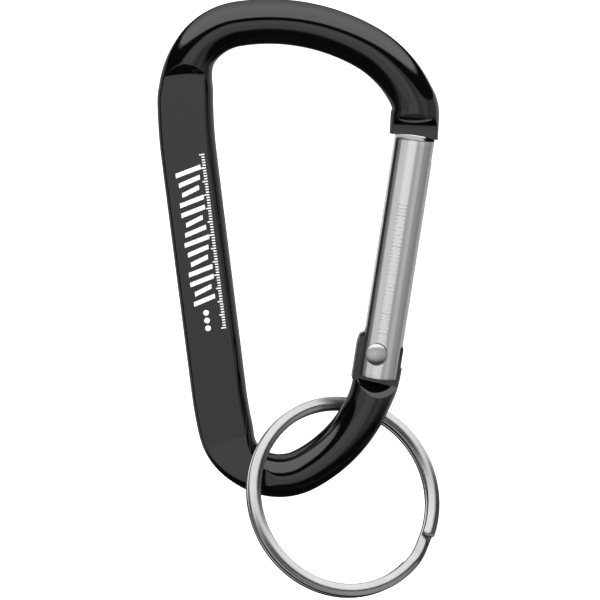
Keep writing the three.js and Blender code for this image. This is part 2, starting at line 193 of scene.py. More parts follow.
to_nose = Line(0, ROD_R, 0, [
    ("bend", CROWN["radius"], -CROWN["to_nose"]),
    turned(NOSE_SHOULDER, -NOSE_SHOULDER[2]),
    turned(NOSE_BEND, -NOSE_BEND[2]),
    NOSE,
])
nose_x, nose_z, nose_heading = to_nose.at(to_nose.length)
whole_crown = ("bend", CROWN["radius"], CROWN["to_nose"] + CROWN["to_spine"])
rod = Line(nose_x, nose_z, nose_heading + 180, [
    NOSE, NOSE_BEND, NOSE_SHOULDER, whole_crown, SHOULDER, UPPER_SPINE, SPINE, LOWER_SPINE, HEEL, BOTTOM,
])
panel_top = rod.start(UPPER_SPINE) - PANEL_ABOVE_BEND
panel_tip = rod.start(HEEL) + PANEL_PAST_HEEL

# The gate's own frame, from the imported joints: the rivet is the origin, w runs up and u outward.
joints = {joint["name"]: joint for joint in frame["joints"]}
RIVET_POINT = Vector(joints["gate_swing"]["pos_m"]) / MM
GATE_W = Vector(joints["plunger_slide"]["axis"]).normalized()
GATE_U = Vector((GATE_W.z, 0, -GATE_W.x))
GATE_TILT = math.atan2(GATE_W.x, GATE_W.z)


def in_gate(u, y, w):
    return RIVET_POINT + GATE_U * u + Vector((0, y, 0)) + GATE_W * w


def through_gate(u, w, y):
    """The same frame, for an outline in the clip's plane that stands up through its thickness."""
    return in_gate(u, y, w)


def up_gate(u, y, w):
    """The same frame, from the middle of the gate's tube."""
    return in_gate(AXIS_U + u, y, w)


# ---- Mesh helpers ---------------------------------------------------------------------------------


def add_object(name, bm):
    """Turns a bmesh in millimetres into an object in metres, and frees it."""
    bmesh.ops.recalc_face_normals(bm, faces=bm.faces)
    mesh = bpy.data.meshes.new(name)
    bmesh.ops.scale(bm, vec=(MM, MM, MM), verts=bm.verts)
    bm.to_mesh(mesh)
    bm.free()
    piece = bpy.data.objects.new(name, mesh)
    bpy.context.scene.collection.objects.link(piece)
    return piece


def skin(bm, rings):
    """Joins rings of points into one surface, and closes both ends."""
    rows = [[bm.verts.new(p) for p in ring] for ring in rings]
    n = len(rows[0])
    for a, b in zip(rows, rows[1:]):
        for k in range(n):
            bm.faces.new((a[k], a[(k + 1) % n], b[(k + 1) % n], b[k]))
    bm.faces.new(rows[0][::-1])
    bm.faces.new(rows[-1])


def lathe(bm, profile, place, sides=96):
    """Turns (radius, height) points round an axis. A radius of nought closes the end to a point."""
    rows = []
    for r, h in profile:
        if r == 0:
            rows.append([bm.verts.new(place(0, 0, h))])
            continue
        ring = []
        for k in range(sides):
            angle = 2 * math.pi * k / sides
            ring.append(bm.verts.new(place(r * math.cos(angle), r * math.sin(angle), h)))
        rows.append(ring)
    for a, b in zip(rows, rows[1:]):
        for k in range(sides):
            j = (k + 1) % sides
            if len(a) == 1:
                bm.faces.new((a[0], b[k], b[j]))
            elif len(b) == 1:
                bm.faces.new((a[k], b[0], a[j]))
            else:
                bm.faces.new((a[k], b[k], b[j], a[j]))


def prism(bm, outline, place, low, high):
    """Stands an outline of (a, b) points up between two levels."""
    rings = [[place(a, b, level) for a, b in outline] for level in (low, high)]
    skin(bm, rings)


def apply_modifiers(piece):
    bpy.context.view_layer.update()
    evaluated = piece.evaluated_get(bpy.context.evaluated_depsgraph_get())
    mesh = bpy.data.meshes.new_from_object(evaluated)
    old = piece.data
    piece.modifiers.clear()
    piece.data = mesh
    mesh.name = piece.name
    bpy.data.meshes.remove(old)


def combine(piece, operation, *tools):
    for tool in tools:
        cut = piece.modifiers.new("cut", "BOOLEAN")
        cut.operation = operation
        cut.solver = "EXACT"
        cut.object = tool
        apply_modifiers(piece)
        bpy.data.objects.remove(tool)


SLIVER = 0.002  # points closer than this are one


def ease_edges(piece, width, segments, angle, smooth_angle):
    """Rounds the sharp edges of a piece and shades it smooth."""
    bm = bmesh.new()
    bm.from_mesh(piece.data)
    bmesh.ops.remove_doubles(bm, verts=bm.verts, dist=SLIVER * MM)
    bmesh.ops.dissolve_degenerate(bm, edges=bm.edges, dist=SLIVER * MM)
    bm.to_mesh(piece.data)
    bm.free()
    bevel = piece.modifiers.new("bevel", "BEVEL")
    bevel.width = width * MM
    bevel.segments = segments
    bevel.limit_method = "ANGLE"
    bevel.angle_limit = rad(angle)
    bevel.use_clamp_overlap = True
    bevel.harden_normals = False
    apply_modifiers(piece)
    shade(piece, smooth_angle)


def shade(piece, angle):
    for face in piece.data.polygons:
        face.use_smooth = True
    piece.data.set_sharp_from_angle(angle=rad(angle))


def finish_piece(piece, body, slot, material, *nodes):
    piece.data.materials.clear()
    piece.data.materials.append(material)
    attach(piece, body)
    if nodes:
        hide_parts(*nodes)
    return piece


# ---- Finishes -------------------------------------------------------------------------------------


class Value:
    """A socket that can be worked with like a number."""

    def __init__(self, tree, socket):
        self.tree = tree
        self.socket = socket

    def math(self, operation, *others):
        node = self.tree.nodes.new("ShaderNodeMath")
        node.operation = operation
        for slot, value in zip(node.inputs, (self, *others)):
            connect(self.tree, value, slot)
        return Value(self.tree, node.outputs[0])

    def flipped(self, operation, other):
        node = self.tree.nodes.new("ShaderNodeMath")
        node.operation = operation
        connect(self.tree, other, node.inputs[0])
        connect(self.tree, self, node.inputs[1])
        return Value(self.tree, node.outputs[0])

    def __add__(self, other):
        return self.math("ADD", other)

    def __radd__(self, other):
        return self.flipped("ADD", other)

    def __sub__(self, other):
        return self.math("SUBTRACT", other)

    def __rsub__(self, other):
        return self.flipped("SUBTRACT", other)

    def __mul__(self, other):
        return self.math("MULTIPLY", other)

    def __rmul__(self, other):
        return self.flipped("MULTIPLY", other)

    def __truediv__(self, other):
        return self.math("DIVIDE", other)

    def between(self, low, high):
        """Rises smoothly from 0 at low to 1 at high."""
        node = self.tree.nodes.new("ShaderNodeMapRange")
        node.interpolation_type = "SMOOTHSTEP"
        connect(self.tree, self, node.inputs["Value"])
        node.inputs["From Min"].default_value = low
        node.inputs["From Max"].default_value = high
        return Value(self.tree, node.outputs[0])


def connect(tree, value, slot):
    if isinstance(value, Value):
        tree.links.new(value.socket, slot)
    else:
        slot.default_value = value


class Nodes:
    """A node tree that is written as expressions."""

    def __init__(self, tree):
        self.tree = tree
        tree.nodes.clear()

    def node(self, kind, settings=None, inputs=None, output=0):
        node = self.tree.nodes.new("ShaderNode" + kind)
        for name, value in (settings or {}).items():
            if name == "stops":
                ramp = node.color_ramp
                while len(ramp.elements) < len(value):
                    ramp.elements.new(1)
                for element, (position, tint) in zip(ramp.elements, value):
                    element.position = position
                    element.color = (*tint, 1)
            else:
                setattr(node, name, value)
        for name, value in (inputs or {}).items():
            connect(self.tree, value, node.inputs[name])
        return Value(self.tree, node.outputs[output]) if len(node.outputs) else None

    def place(self):
        return self.node("TexCoord", output="Object")

    def noise(self, vector, scale, detail=4, roughness=0.55):
        sockets = {"Vector": vector, "Scale": scale, "Detail": detail, "Roughness": roughness}
        return self.node("TexNoise", inputs=sockets)

    def stretched(self, vector, scale, rotation=(0, 0, 0)):
        """The place in a turned frame, with its own scale along each axis."""
        sockets = {"Vector": vector, "Rotation": rotation}
        upright = self.node("Mapping", {"vector_type": "TEXTURE"}, sockets)
        return self.node("VectorMath", {"operation": "MULTIPLY"}, {0: upright, 1: scale})

    def blend(self, factor, first, second):
        sockets = {0: factor, 6: first, 7: second}
        return self.node("Mix", {"data_type": "RGBA"}, sockets, output=2)

    def bump(self, height, strength, distance):
        sockets = {"Height": height, "Strength": strength, "Distance": distance}
        return self.node("Bump", inputs=sockets)

    def surface(self, **sockets):
        names = {name.replace("_", " "): value for name, value in sockets.items()}
        shader = self.node("BsdfPrincipled", inputs=names)
        self.node("OutputMaterial", inputs={"Surface": shader})


def new_material(name):
    material = bpy.data.materials.new(name)
    material.use_nodes = True
    return material, Nodes(material.node_tree)


def colour(*values):
    return (*values, 1)


def make_black_anodise():
    """Glossy black anodised rod: nearly flat, with a faint pebble and a few finer specks."""
    material, n = new_material("black_anodise")
    place = n.place()
    patches = n.noise(place, 180, 3)
    specks = n.noise(place, 5200, 2, 0.7)
    rubs = n.noise(n.stretched(place, (260, 260, 60)), 1, 5, 0.6)
    worn = rubs.between(0.62, 0.8)
    pebble = n.noise(place, 900, 3, 0.5)
    relief = pebble * 0.8 + specks * 0.2
    n.surface(
        Base_Color=n.blend(patches, colour(0.0008, 0.0008, 0.001), colour(0.0024, 0.0024, 0.0028)),
        Roughness=0.035 + patches * 0.03 + specks * 0.03 + worn * 0.05,
        Specular_IOR_Level=0.5,
        IOR=1.52,
        Normal=n.bump(relief, 0.05, 0.00008),
    )
    return material


def make_satin_aluminium():
    """Drawn aluminium tube: fine lines along its length, in tone, gloss and relief."""
    material, n = new_material("satin_aluminium")
    place = n.place()
    turn = (0, GATE_TILT, 0)
    fine = n.noise(n.stretched(place, (9000, 9000, 130), turn), 1, 3, 0.6)
    broad = n.noise(n.stretched(place, (1500, 1500, 22), turn), 1, 3, 0.5)
    clouds = n.noise(place, 160, 3)
    scuffs = n.noise(n.stretched(place, (700, 700, 240), turn), 1, 6, 0.7).between(0.62, 0.76)
    tone = fine * 0.35 + broad * 0.45 + clouds * 0.2
    n.surface(
        Base_Color=n.blend(tone, colour(0.5, 0.51, 0.51), colour(0.69, 0.69, 0.68)),
        Metallic=1.0,
        Roughness=0.11 + fine * 0.07 + broad * 0.06 + scuffs * 0.07,
        Normal=n.bump(fine * 0.6 + broad * 0.4, 0.1, 0.00004),
    )
    return material


def make_rivet_steel():
    """Headed rivet: a soft mottle from the forming tool, with fine pits."""
    material, n = new_material("rivet_steel")
    place = n.place()
    mottle = n.noise(place, 1400, 4)
    pits = n.noise(place, 6000, 2).between(0.64, 0.78)
    n.surface(
        Base_Color=n.blend(mottle, colour(0.42, 0.42, 0.42), colour(0.54, 0.54, 0.53)),
        Metallic=1.0,
        Roughness=0.34 + mottle * 0.12 + pits * 0.08,
        Normal=n.bump(mottle - pits * 0.4, 0.12, 0.00005),
    )
    return material


def make_spring_steel():
    """Hard-drawn spring wire, slightly oiled and darker in patches."""
    material, n = new_material("spring_steel")
    place = n.place()
    patches = n.noise(place, 700, 4)
    lines = n.noise(n.stretched(place, (8000, 8000, 9000)), 1, 3)
    n.surface(
        Base_Color=n.blend(patches, colour(0.26, 0.26, 0.27), colour(0.46, 0.46, 0.47)),
        Metallic=1.0,
        Roughness=0.26 + lines * 0.16,
        Normal=n.bump(lines, 0.08, 0.00003),
    )
    return material


def make_plunger_brass():
    """Turned brass with the lathe's rings round the stem."""
    material, n = new_material("plunger_brass")
    place = n.place()
    rings = n.noise(n.stretched(place, (300, 300, 9000), (0, GATE_TILT, 0)), 1, 3)
    tarnish = n.noise(place, 500, 4)
    n.surface(
        Base_Color=n.blend(tarnish, colour(0.62, 0.43, 0.17), colour(0.8, 0.62, 0.3)),
        Metallic=1.0,
        Roughness=0.22 + rings * 0.16 + tarnish * 0.06,
        Normal=n.bump(rings, 0.12, 0.00004),
    )
    return material


def make_nickel(centre, normal):
    """Nickel-plated flat wire, with fine lines round the ring and small rubs from the keys."""
    material, n = new_material("nickel_plate")
    place = n.place()
    arm = n.node("VectorMath", {"operation": "SUBTRACT"}, {0: place, 1: tuple(centre * MM)})
    height = n.node("VectorMath", {"operation": "DOT_PRODUCT"}, {0: arm, 1: tuple(normal)}, "Value")
    span = n.node("VectorMath", {"operation": "LENGTH"}, {0: arm}, "Value")
    along = n.node("CombineXYZ", inputs={"X": span * 8000, "Y": height * 8000})
    drift = n.node("VectorMath", {"operation": "SCALE"}, {0: place, "Scale": 90})
    path = n.node("VectorMath", {"operation": "ADD"}, {0: along, 1: drift})
    lines = n.noise(path, 1, 3, 0.6)
    clouds = n.noise(place, 240, 4)
    rubs = n.noise(place, 1500, 5, 0.7).between(0.6, 0.74)
    n.surface(
        Base_Color=n.blend(clouds, colour(0.25, 0.25, 0.247), colour(0.35, 0.35, 0.343)),
        Metallic=1.0,
        Roughness=0.15 + lines * 0.1 + clouds * 0.06 + rubs * 0.08,
        Normal=n.bump(lines * 0.7 + clouds * 0.3, 0.07, 0.00004),
    )
    return material


def make_white_ink():
    """Pad-printed white ink, thin at places, with a faint orange-peel."""
    material, n = new_material("white_ink")
    place = n.place()
    cover = n.noise(place, 2600, 3).between(0.3, 0.55)
    peel = n.noise(place, 5200, 2)
    n.surface(
        Base_Color=n.blend(cover, colour(0.66, 0.66, 0.66), colour(0.9, 0.9, 0.9)),
        Roughness=0.42 + peel * 0.14,
        Specular_IOR_Level=0.35,
        Normal=n.bump(peel, 0.15, 0.00003),
    )
    return material


# ---- Frame body -----------------------------------------------------------------------------------

SECTION_SIDE = 14  # points on each round side, from the edge of the flat to the silhouette
SECTION_FLAT = 6  # points on half of the flat
ROD_STEP = 0.55  # the longest run between sections
FINE_STEP = 0.15  # and over the nose
WIDEST_EDGE = rad(78)  # an unpressed section keeps its points this far round


def rod_size(s):
    """Half width, half thickness, and how much of the spine's flat there is, along the rod."""
    left = rod.length - s
    pressed_spine = smooth(s, panel_top - PANEL_SWELL["top"] / 2, panel_top + PANEL_SWELL["top"] / 2)
    pressed_spine *= 1 - smooth(s, panel_tip - PANEL_SWELL["from"], panel_tip - PANEL_SWELL["to"])
    half_width = lerp(ROD_R, PANEL["half_width"], pressed_spine)
    pressed_nose = 1 - smooth(s, NOSE_SWELL["from"], NOSE_SWELL["to"])
    half_width = lerp(half_width, NOSE_FLAT["half_width"], pressed_nose)
    half_width = lerp(half_width, TONGUE["half_width"], 1 - smooth(left, 0, TONGUE["swell"]))

    depth = ROD_R - PANEL["half_thickness"]
    above = max(panel_top - s, 0) / PANEL["top_ramp"]
    below = max(s - (panel_tip - PANEL["bottom_ramp"]), 0) / PANEL["bottom_ramp"]
    panel = PANEL["half_thickness"] + depth * (above + below)
    hollow = max(s - NOSE_HOLLOW["from"], 0) / NOSE_HOLLOW["run"]
    nose = lerp(NOSE_FLAT["half_thickness"], ROD_R, hollow ** NOSE_HOLLOW["power"])
    rise = max(left, 0) / TONGUE["ramp"]
    tongue = TONGUE["half_thickness"] + rise * (ROD_R - TONGUE["half_thickness"])
    half_thickness = min(ROD_R, nose, tongue, panel)
    return half_width, half_thickness, pressed_spine


def rod_section(s):
    """An ellipse with its front and back pressed flat, as points round the rod."""
    half_width, half_thickness, pressed_spine = rod_size(s)
    lean = PANEL_LEAN["slope"] * max(1 - abs(s - panel_top) / PANEL_LEAN["reach"], 0)
    edge = min(math.asin(min(half_thickness / ROD_R, 1)), WIDEST_EDGE)
    angles = [edge * k / SECTION_SIDE for k in range(SECTION_SIDE)]
    angles += [lerp(edge, math.pi / 2, k / SECTION_FLAT) for k in range(SECTION_FLAT)]
    quarter = [*angles, math.pi / 2]
    quarters = (
        (1, 1, quarter[:-1]), (-1, 1, quarter[:0:-1]), (-1, -1, quarter[:-1]), (1, -1, quarter[:0:-1]),
    )
    ring = []
    for side, front, run in quarters:
        for angle in run:
            across = side * half_width * math.cos(angle)
            if edge < WIDEST_EDGE and angle > edge:  # even steps over the flat
                share = (math.pi / 2 - angle) / (math.pi / 2 - edge)
                across = side * half_width * math.cos(edge) * share
            deep = min(ROD_R * math.sin(angle), half_thickness)
            across += PANEL_SHIFT * pressed_spine * deep / half_thickness
            x, z, heading = rod.at(s + lean * across)
            out = Vector((math.sin(rad(heading)), 0, -math.cos(rad(heading))))
            ring.append(Vector((x, front * deep, z)) + out * across)
    return ring


def rod_stations():
    marks = [
        0, NOSE_HOLLOW["from"], NOSE_HOLLOW["from"] + NOSE_HOLLOW["run"],
        panel_top - PANEL["top_ramp"], panel_top, panel_tip - PANEL["bottom_ramp"], panel_tip,
        rod.length - TONGUE["ramp"], rod.length, rod.length + TONGUE["overlap"],
    ]
    stations = [0]
    for low, high in zip(marks, marks[1:]):
        step = FINE_STEP if high <= NOSE_HOLLOW["from"] + NOSE_HOLLOW["run"] else ROD_STEP
        count = math.ceil((high - low) / step)
        stations += [lerp(low, high, i / count) for i in range(1, count + 1)]
    return stations


CAM_STEPS = 20
CORNER_STEPS = 16
ARCH_STEPS = 32
BORE_SIDES = 64


def tongue_outline():
    """The tongue's end: a ledge, a round outer corner, a flat, and the curve the plunger rides on."""
    inner = AXIS_U + TONGUE["offset"] - TONGUE["half_width"]
    outer = AXIS_U + TONGUE["offset"] + TONGUE["half_width"]
    rim = AXIS_U - PLUNGER["radius"]
    outline = [(inner, -ROOT_DEPTH), (outer, -ROOT_DEPTH), (outer, CAM["ledge"])]
    low = math.asin(CAM["ledge"] / CAM["outer"])
    for i in range(CORNER_STEPS + 1):
        angle = lerp(low, rad(CAM_CORNER["turn"]), i / CORNER_STEPS)
        outline.append((CAM["outer"] * math.cos(angle), CAM["outer"] * math.sin(angle)))
    outline.append((CAM_CORNER["flat_end"], CAM["top"]))
    for i in range(CAM_STEPS + 1):
        swing = rad(CAM["turn"] * i / CAM_STEPS)
        height = CAM["top"] + CAM["lift"] * swing
        u = rim * math.cos(swing) - height * math.sin(swing)
        w = rim * math.sin(swing) + height * math.cos(swing)
        outline.append((u, w))
    outline.append((inner, CAM["shoulder"]))
    return outline


def arch_outline():
    """The cut that ends the nose in a shallow arch over the gate's tip."""
    span = NOSE_FLAT["half_width"]
    radius = (span ** 2 + ARCH["rise"] ** 2) / (2 * ARCH["rise"])
    centre = GATE["top"] + ARCH["side"] + ARCH["rise"] - radius
    reach = span + CLEAR
    spread = math.asin(reach / radius)
    base = GATE["top"] - 2 * CLEAR
    outline = [(AXIS_U - reach, base), (AXIS_U + reach, base)]
    for i in range(ARCH_STEPS + 1):
        angle = lerp(math.pi / 2 - spread, math.pi / 2 + spread, i / ARCH_STEPS)
        outline.append((AXIS_U + radius * math.cos(angle), centre + radius * math.sin(angle)))
    return outline


def gate_plate(name, outline, half_thickness):
    """A flat plate in the gate's frame, centred on the clip's plane."""
    bm = bmesh.new()
    prism(bm, outline, through_gate, -half_thickness, half_thickness)
    return add_object(name, bm)


def gate_block(name, low, high):
    """A block in the gate's frame, from one corner to the opposite one."""
    bm = bmesh.new()
    outline = [(low[0], low[1]), (high[0], low[1]), (high[0], high[1]), (low[0], high[1])]
    prism(bm, outline, in_gate, low[2], high[2])
    return add_object(name, bm)


def circle(u, w, radius, sides):
    """Points round a circle."""
    turns = [2 * math.pi * k / sides for k in range(sides)]
    return [(u + radius * math.cos(turn), w + radius * math.sin(turn)) for turn in turns]


def rivet_bore(name, radius, low, high):
    """A cylinder on the rivet's axis, from one depth to another."""
    bm = bmesh.new()
    prism(bm, circle(0, 0, radius, BORE_SIDES), through_gate, low, high)
    return add_object(name, bm)


def make_frame_body(material):
    """The bent rod, cut to an arch over the gate, with the gate's latch and the tongue it turns on."""
    bm = bmesh.new()
    skin(bm, [rod_section(s) for s in rod_stations()])
    body = add_object("bent_rod", bm)
    combine(body, "DIFFERENCE", gate_plate("arch", arch_outline(), THROUGH))
    thick = LATCH["half_thickness"]
    latch = gate_block(
        "latch",
        (AXIS_U + LATCH["from"], -thick, GATE["top"] - LATCH["depth"]),
        (AXIS_U + LATCH["to"], thick, GATE["top"] + LATCH["root"]),
    )
    tongue = gate_plate("tongue", tongue_outline(), TONGUE["half_thickness"])
    combine(body, "UNION", latch, tongue)
    pivot_hole = rivet_bore("pivot_hole", RIVET["radius"] + RUN, -PIVOT_REACH, PIVOT_REACH)
    combine(body, "DIFFERENCE", pivot_hole)
    ease_edges(body, width=0.16, segments=3, angle=28, smooth_angle=50)
    return finish_piece(body, "frame", "black_anodised_rod", material, "frame_body")


# ---- Gate -----------------------------------------------------------------------------------------

TUBE_SIDES = 120
TUBE_LEVELS = 60


def make_gate_channel(material):
    """A tube with a slot down its inner side, a closed top, and a web that the spring pushes against."""
    radius, bore, slot = GATE["radius"], GATE["bore"], GATE["slot"]
    lip, mouth = math.asin(slot / radius), math.asin(slot / bore)
    outline = []
    for k in range(TUBE_SIDES + 1):
        angle = lerp(math.pi + lip, 3 * math.pi - lip, k / TUBE_SIDES)
        outline.append((AXIS_U + radius * math.cos(angle), radius * math.sin(angle)))
    for k in range(TUBE_SIDES + 1):
        angle = lerp(3 * math.pi - mouth, math.pi + mouth, k / TUBE_SIDES)
        outline.append((AXIS_U + bore * math.cos(angle), bore * math.sin(angle)))
    bm = bmesh.new()
    levels = [lerp(GATE["bottom"], GATE["top"], k / TUBE_LEVELS) for k in range(TUBE_LEVELS + 1)]
    skin(bm, [[in_gate(u, y, w) for u, y in outline] for w in levels])
    channel = add_object("gate_tube", bm)
    wide = bore + WEB["bite"]
    for low, thickness in ((WEB["bottom"], WEB["thickness"]), (GATE["top"] - END_CAP, END_CAP)):
        bm = bmesh.new()
        profile = [(0, low), (wide, low), (wide, low + thickness), (0, low + thickness)]
        lathe(bm, profile, up_gate)
        combine(channel, "UNION", add_object("disc", bm))
    outside = AXIS_U + radius + CLEAR
    notch = LATCH["half_thickness"] + RUN
    seat = RIVET["seat"] - FIT / 2
    combine(
        channel,
        "DIFFERENCE",
        gate_block(
            "hinge_slot",
            (AXIS_U, -slot, GATE["bottom"] - CLEAR),
            (outside, slot, HINGE_SLOT_TOP),
        ),
        gate_block(
            "latch_notch",
            (AXIS_U + LATCH_NOTCH["from"], -notch, GATE["top"] - LATCH_NOTCH["depth"]),
            (outside, notch, GATE["top"] + CLEAR),
        ),
        rivet_bore("rivet_hole", RIVET["radius"] + FIT, -THROUGH, THROUGH),
        rivet_bore("front_spot_face", RIVET["head"] + FIT, -THROUGH, -seat),
        rivet_bore("back_spot_face", RIVET["head"] + FIT, seat, THROUGH),
    )
    ease_edges(channel, width=0.13, segments=3, angle=32, smooth_angle=45)
    return finish_piece(channel, "gate", "satin_aluminium", material, "gate_channel")


DOME_STEPS = 16


def make_hinge_rivet(material):
    """A rivet with a low dome at each end."""
    bm = bmesh.new()
    seat, head, shank = RIVET["seat"], RIVET["head"], RIVET["radius"]
    rim, (inset, lift) = RIVET["rim"], RIVET["edge"]
    half = [(shank, seat), (head - inset, seat), (head, seat + lift), (head, seat + rim)]
    for i in range(1, DOME_STEPS + 1):
        angle = math.pi / 2 * i / DOME_STEPS
        rise = lerp(rim, RIVET["height"], math.sin(angle))
        half.append((head * math.cos(angle) if i < DOME_STEPS else 0, seat + rise))
    mirrored = [(r, -h) for r, h in reversed(half)]
    lathe(bm, mirrored + half, through_gate)
    rivet = add_object("rivet", bm)
    shade(rivet, 50)
    return finish_piece(rivet, "gate", "rivet_steel", material, "hinge_rivet")


def make_spring_plunger(material):
    """A wide head that rides on the tongue, and a stem inside the spring."""
    face = CAM["top"] + PLUNGER["gap"]
    top = face + PLUNGER["length"]
    shoulder = face + PLUNGER["head"]
    wide, stem, ease = PLUNGER["radius"], PLUNGER["stem"], PLUNGER["ease"]
    tip, inset, steps = PLUNGER_TIP["height"], PLUNGER_TIP["inset"], PLUNGER_TIP["steps"]
    profile = [(0, face), (wide - ease, face), (wide, face + ease), (wide, shoulder - ease)]
    profile += [(wide - ease, shoulder), (stem, shoulder), (stem, top - tip)]
    for i in range(1, steps + 1):
        angle = math.pi / 2 * i / steps
        profile.append((stem - inset * (1 - math.cos(angle)), top - tip * (1 - math.sin(angle))))
    profile.append((0, top))
    bm = bmesh.new()
    lathe(bm, profile, up_gate)
    plunger = add_object("plunger", bm)
    shade(plunger, 40)
    return finish_piece(plunger, "plunger", "plunger_brass", material, "spring_plunger")


SPRING_SIDES = 12
SPRING_STEPS = 40  # in each turn


def make_gate_spring(material):
    """A coil from the plunger's head up to the web."""
    clear = SPRING["wire"] + SPRING["gap"]
    low = CAM["top"] + PLUNGER["gap"] + PLUNGER["head"] + clear
    high = WEB["bottom"] - clear
    turns = SPRING["turns"]
    steps = SPRING_STEPS * turns
    pitch = (high - low) / turns
    rings = []
    for i in range(steps + 1):
        angle = 2 * math.pi * turns * i / steps
        centre = Vector((math.cos(angle), math.sin(angle), 0)) * SPRING["radius"]
        centre.z = lerp(low, high, i / steps)
        outward = Vector((math.cos(angle), math.sin(angle), 0))
        along = Vector((-math.sin(angle), math.cos(angle), pitch / (2 * math.pi * SPRING["radius"])))
        across = along.normalized().cross(outward)
        ring = []
        for k in range(SPRING_SIDES):
            turn = 2 * math.pi * k / SPRING_SIDES
            p = centre + (outward * math.cos(turn) + across * math.sin(turn)) * SPRING["wire"]
            ring.append(up_gate(*p))
        rings.append(ring)
    bm = bmesh.new()
    skin(bm, rings)
    spring = add_object("coil_spring", bm)
    shade(spring, 50)
    finish_piece(spring, "gate", "spring_steel", material, "gate_spring")
    travel = joints["plunger_slide"]["range_m"][1] / MM
    web = up_gate(0, 0, WEB["bottom"]) * MM
    keep = 1 - travel / (high - low)
    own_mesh(spring)
    return spring


# ---- Split ring -----------------------------------------------------------------------------------


def ring_matrix():
    """The ring's own frame: its centre, and its axis as Z, hung from a place on the bottom bow."""
    x, z, heading = rod.at(rod.start(BOTTOM) + RING_PLACE["seat"])
    slope = rad(heading)
    basis = Matrix((
        (math.cos(slope), -math.sin(slope), 0, x),
        (0, 0, -1, -RING_PLACE["forward"]),
        (math.sin(slope), math.cos(slope), 0, z),
        (0, 0, 0, 1),
    ))
    lean = Matrix.Rotation(rad(-RING_PLACE["lean"]), 4, "X")
    drop = Matrix.Translation((0, -RING_PLACE["drop"], 0))
    tilt = Matrix.Rotation(rad(RING_PLACE["tilt"]), 4, "Y")
    return basis @ lean @ drop @ tilt @ Matrix.Rotation(-slope, 4, "Z")


RING_FRAME = ring_matrix()
WIRE_CORNER_STEPS = 7
WIRE_FACE_STEPS = 6


def wire_outline():
    """The flat wire's crowned section about its own centre, as (radial, axial) points."""
    half_r = (RING["outer"] - RING["inner"]) / 2
    half_z = RING["wire"] / 2
    corner, crown = RING["corner"], RING["crown"]
    points = []
    for quarter, (sr, sz) in enumerate(((1, 1), (-1, 1), (-1, -1), (1, -1))):
        for i in range(WIRE_CORNER_STEPS + 1):
            angle = math.pi / 2 * (quarter + i / WIRE_CORNER_STEPS)
            r = sr * (half_r - corner) + corner * math.cos(angle)
            z = sz * (half_z - crown - corner) + corner * math.sin(angle)
            points.append((r, z))
        if quarter % 2 == 0:  # over the wide face
            for i in range(1, WIRE_FACE_STEPS):
                share = 1 - 2 * i / WIRE_FACE_STEPS
                r = sr * (half_r - corner) * share
                bulge = crown * math.sin(math.pi / 2 * (1 - abs(share)))
                points.append((r, sz * (half_z - crown + bulge)))
    return points


RING_STEPS = 720
RING_TIP = {"length": 0.62, "narrow": 0.35, "thin": 0.6, "steps": 10}  # the rounded ends of the wire


def make_split_ring(material):
    """Two turns of flat wire side by side, with a jog where it crosses from one to the other."""
    layer = (RING["wire"] + RING["gap"]) / 2
    middle = (RING["outer"] + RING["inner"]) / 2
    first = RING_RAMP["to"] + RING_RAMP["gap"]
    last = RING_RAMP["from"] + 720 - RING_RAMP["gap"]
    ramp_low, ramp_high = RING_RAMP["from"] + 360, RING_RAMP["to"] + 360
    outline = wire_outline()
    tip = math.degrees(RING_TIP["length"] / middle)
    steps = RING_TIP["steps"]
    angles = [first + tip * (1 - math.cos(math.pi / 2 * i / steps)) for i in range(steps)]
    angles += [lerp(first + tip, last - tip, i / RING_STEPS) for i in range(RING_STEPS + 1)]
    angles += [last - tip + tip * math.sin(math.pi / 2 * i / steps) for i in range(1, steps + 1)]
    rings = []
    for angle in angles:
        near_end = min(angle - first, last - angle) / tip
        shrink = math.sqrt(max(1 - (1 - min(near_end, 1)) ** 2, 0))
        narrow, thin = lerp(RING_TIP["narrow"], 1, shrink), lerp(RING_TIP["thin"], 1, shrink)
        level = lerp(layer, -layer, smooth(angle, ramp_low, ramp_high))
        a = rad(angle)
        ring = []
        for r, z in outline:
            reach = middle + r * narrow
            point = Vector((reach * math.cos(a), reach * math.sin(a), level + z * thin))
            ring.append(RING_FRAME @ point)
        rings.append(ring)
    bm = bmesh.new()
    skin(bm, rings)
    ring = add_object("two_turn_ring", bm)
    shade(ring, 35)
    return finish_piece(ring, "ring", "nickel_plated_steel", material, "split_ring")


# ---- Print on the spine and marks on the gate -----------------------------------------------------

INK = 0.02  # thickness of the print
PRINT = {"start": 64.6, "end": 86.8, "column": 0, "scale_column": -2.85}
BARS = {"count": 14, "shortest": 1.2, "longest": 2, "wave": 0.9, "half": 0.36, "slant": 0.5}
DOTS = {"count": 3, "pitch": 1.25, "radius": 0.45, "sides": 32}  # below the bars
TICKS = {"count": 66, "above": 1.6, "below": 4, "half": 0.1, "short": 0.5, "long": 0.8, "every": 5}


def on_panel(s, across, height):
    """A place on the front of the spine's flat: along the rod, outward across it, and off it."""
    x, z, heading = rod.at(s)
    out = Vector((math.sin(rad(heading)), 0, -math.cos(rad(heading))))
    level = PANEL["half_thickness"] + height
    return Vector((x, -level, z)) + out * (across + PANEL_SHIFT)


